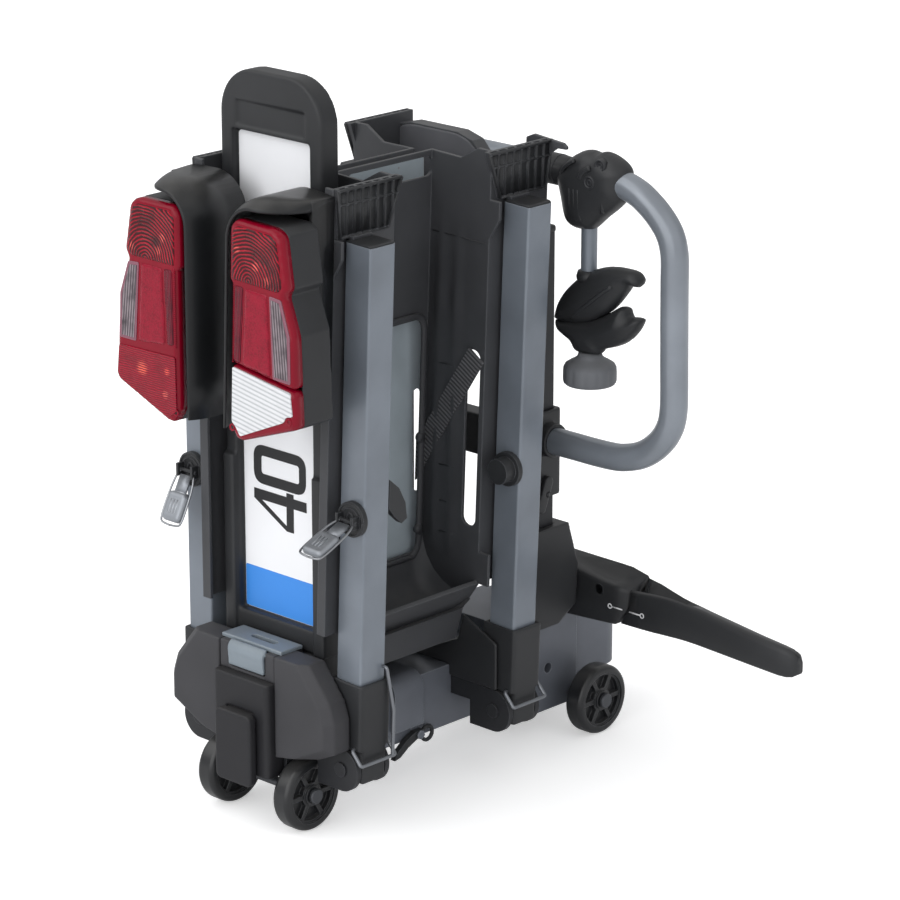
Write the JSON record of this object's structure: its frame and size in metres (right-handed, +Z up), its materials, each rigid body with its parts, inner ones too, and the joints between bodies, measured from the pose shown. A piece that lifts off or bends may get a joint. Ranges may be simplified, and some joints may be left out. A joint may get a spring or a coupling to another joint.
{
  "type": "hitch bike rack",
  "caption": "Folded bicycle carrier for a tow ball, standing upright on its transport wheels, with folding wings, tail lamps, plate holder and a hoop with a frame clamp.",
  "frame": {"origin": "on the floor, on the mid-plane, midway between the two wheel axles", "axes": "+X to the right wing, +Y to the vehicle, +Z up"},
  "size_m": [0.531, 0.607, 0.805],
  "materials": {
    "dark_painted_steel": "satin powder coat",
    "silver_painted_tube": "satin bluish grey coat",
    "cast_alloy": "fine cast, matt",
    "zinc_plated_steel": "bright zinc",
    "black_plastic": "fine grain, matt",
    "grey_plastic": "satin",
    "black_tube_coat": "satin black coat",
    "wheel_plastic": "matt",
    "strap_rubber": "matt",
    "red_lens_plastic": "clear gloss",
    "clear_lens_plastic": "clear gloss",
    "plate_white": "semi gloss",
    "sheet_metal": "brushed light blue-grey"
  },
  "bodies": {
    "frame": {"centre_beam": "cast_alloy", "beam_saddle": "cast_alloy", "rear_cross_arm": "dark_painted_steel", "front_cross_arm": "dark_painted_steel", "hinge_pins": "zinc_plated_steel", "rear_fork": "dark_painted_steel", "axles": "zinc_plated_steel", "coupling_casting": "cast_alloy", "lever_hub": "black_plastic", "mast": "black_tube_coat", "mast_fittings": "black_plastic", "holder_seat": "black_plastic", "rear_covers": "black_plastic", "column_cover": "black_plastic", "latch_surround": "black_plastic", "top_plate": "grey_plastic", "front_arm_cover": "black_plastic"},
    "wheel_rear_left": {"wheel_rear_left": "wheel_plastic"},
    "wheel_rear_right": {"wheel_rear_right": "wheel_plastic"},
    "wheel_front_left": {"wheel_front_left": "wheel_plastic"},
    "wheel_front_right": {"wheel_front_right": "wheel_plastic"},
    "wing_right": {"wing_tubes_right": "silver_painted_tube", "tube_caps_right": "black_plastic", "wing_shoes_right": "black_plastic", "retaining_wires_right": "zinc_plated_steel", "tray_right": "black_plastic", "strap_right": "strap_rubber", "lamp_housing_right": "black_plastic", "lamp_lens_right": "red_lens_plastic", "reversing_lens_right": "clear_lens_plastic", "lamp_hood_right": "black_plastic", "ratchets_right": "black_plastic"},
    "wing_left": {"wing_tubes_left": "silver_painted_tube", "tube_caps_left": "black_plastic", "wing_shoes_left": "black_plastic", "retaining_wires_left": "zinc_plated_steel", "tray_left": "black_plastic", "tray_sheet_left": "sheet_metal", "lamp_housing_left": "black_plastic", "lamp_lens_left": "red_lens_plastic", "lamp_hood_left": "black_plastic", "ratchets_left": "black_plastic"},
    "ratchet_grip_right": {"ratchet_grip_right": "grey_plastic"},
    "ratchet_grip_left": {"ratchet_grip_left": "grey_plastic"},
    "plate_carrier": {"plate_holder": "black_plastic", "number_plate": "plate_white"},
    "hoop": {"mast_bracket": "black_plastic", "hoop_tube": "silver_painted_tube", "hoop_sleeves": "black_plastic"},
    "bracket_latch": {"bracket_latch": "black_plastic"},
    "clamp": {"clamp_head": "black_plastic", "clamp_screws": "black_tube_coat", "clamp_stem": "silver_painted_tube", "upper_jaw": "black_plastic"},
    "lower_jaw": {"lower_jaw": "black_plastic"},
    "clamp_knob": {"clamp_knob": "grey_plastic"},
    "clamp_lever": {"clamp_lever": "black_plastic"},
    "beam_hook": {"beam_hook": "dark_painted_steel"},
    "tilt_pedal": {"tilt_pedal": "black_plastic"},
    "latch_paddle": {"latch_paddle": "grey_plastic"}
  },
  "joints": [
    {"name": "wheel_rear_left_spin", "type": "hinge", "parent": "frame", "child": "wheel_rear_left", "pos_m": [-0.058, -0.21, 0.04], "axis": [1, 0, 0], "continuous": true},
    {"name": "wheel_rear_right_spin", "type": "hinge", "parent": "frame", "child": "wheel_rear_right", "pos_m": [0.058, -0.21, 0.04], "axis": [1, 0, 0], "continuous": true},
    {"name": "wheel_front_left_spin", "type": "hinge", "parent": "frame", "child": "wheel_front_left", "pos_m": [-0.095, 0.21, 0.04], "axis": [1, 0, 0], "continuous": true},
    {"name": "wheel_front_right_spin", "type": "hinge", "parent": "frame", "child": "wheel_front_right", "pos_m": [0.095, 0.21, 0.04], "axis": [1, 0, 0], "continuous": true},
    {"name": "wing_right_fold", "type": "hinge", "parent": "frame", "child": "wing_right", "pos_m": [0.109, 0, 0.08], "axis": [0, 1, 0], "range_deg": [0, 87.7]},
    {"name": "wing_left_fold", "type": "hinge", "parent": "frame", "child": "wing_left", "pos_m": [-0.109, 0, 0.08], "axis": [0, 1, 0], "range_deg": [-90, 0]},
    {"name": "ratchet_grip_right_swing", "type": "hinge", "parent": "wing_right", "child": "ratchet_grip_right", "pos_m": [0.12627, -0.213, 0.36053], "axis": [0.9992, 0, -0.0401], "range_deg": [-70, 45]},
    {"name": "ratchet_grip_left_swing", "type": "hinge", "parent": "wing_left", "child": "ratchet_grip_left", "pos_m": [-0.115, -0.213, 0.361], "axis": [1, 0, 0], "range_deg": [-100, 15]},
    {"name": "plate_lift", "type": "slide", "parent": "frame", "child": "plate_carrier", "axis": [0, 0, 1], "range_m": [0, 0.6]},
    {"name": "hoop_height", "type": "slide", "parent": "frame", "child": "hoop", "axis": [0, 0, 1], "range_m": [0, 0.19]},
    {"name": "bracket_latch_turn", "type": "hinge", "parent": "hoop", "child": "bracket_latch", "pos_m": [0.0893, 0.131, 0.299], "axis": [1, 0, 0], "range_deg": [0, 60]},
    {"name": "clamp_turn", "type": "hinge", "parent": "hoop", "child": "clamp", "pos_m": [0.15, 0.133, 0.666], "axis": [1, 0, 0], "range_deg": [0, 90]},
    {"name": "jaw_opening", "type": "hinge", "parent": "clamp", "child": "lower_jaw", "pos_m": [0.105, 0.133, 0.502], "axis": [0, 1, 0], "range_deg": [0, 16]},
    {"name": "knob_turn", "type": "hinge", "parent": "lower_jaw", "child": "clamp_knob", "pos_m": [0.148, 0.133, 0.45], "axis": [0, 0, 1], "range_deg": [0, 1440]},
    {"name": "coupling_lever_lift", "type": "hinge", "parent": "frame", "child": "clamp_lever", "pos_m": [0.112, 0.214, 0.178], "axis": [0, 1, 0], "range_deg": [-45, 0]},
    {"name": "hook_swing", "type": "hinge", "parent": "frame", "child": "beam_hook", "pos_m": [0.05, -0.032, 0.0535], "axis": [1, 0, 0], "range_deg": [0, 20]},
    {"name": "pedal_press", "type": "hinge", "parent": "frame", "child": "tilt_pedal", "pos_m": [0, -0.2465, 0.126], "axis": [1, 0, 0], "range_deg": [-20, 0], "stiffness_Nm_per_rad": 0.6, "springref_deg": 5.73},
    {"name": "paddle_pull", "type": "hinge", "parent": "frame", "child": "latch_paddle", "pos_m": [0, -0.2362, 0.194], "axis": [1, 0, 0], "range_deg": [-25, 0], "stiffness_Nm_per_rad": 0.08, "springref_deg": 5.73}
  ],
  "couplings": [
    {"joint": "jaw_opening", "follows": "knob_turn", "ratio": 0.0111}
  ]
}
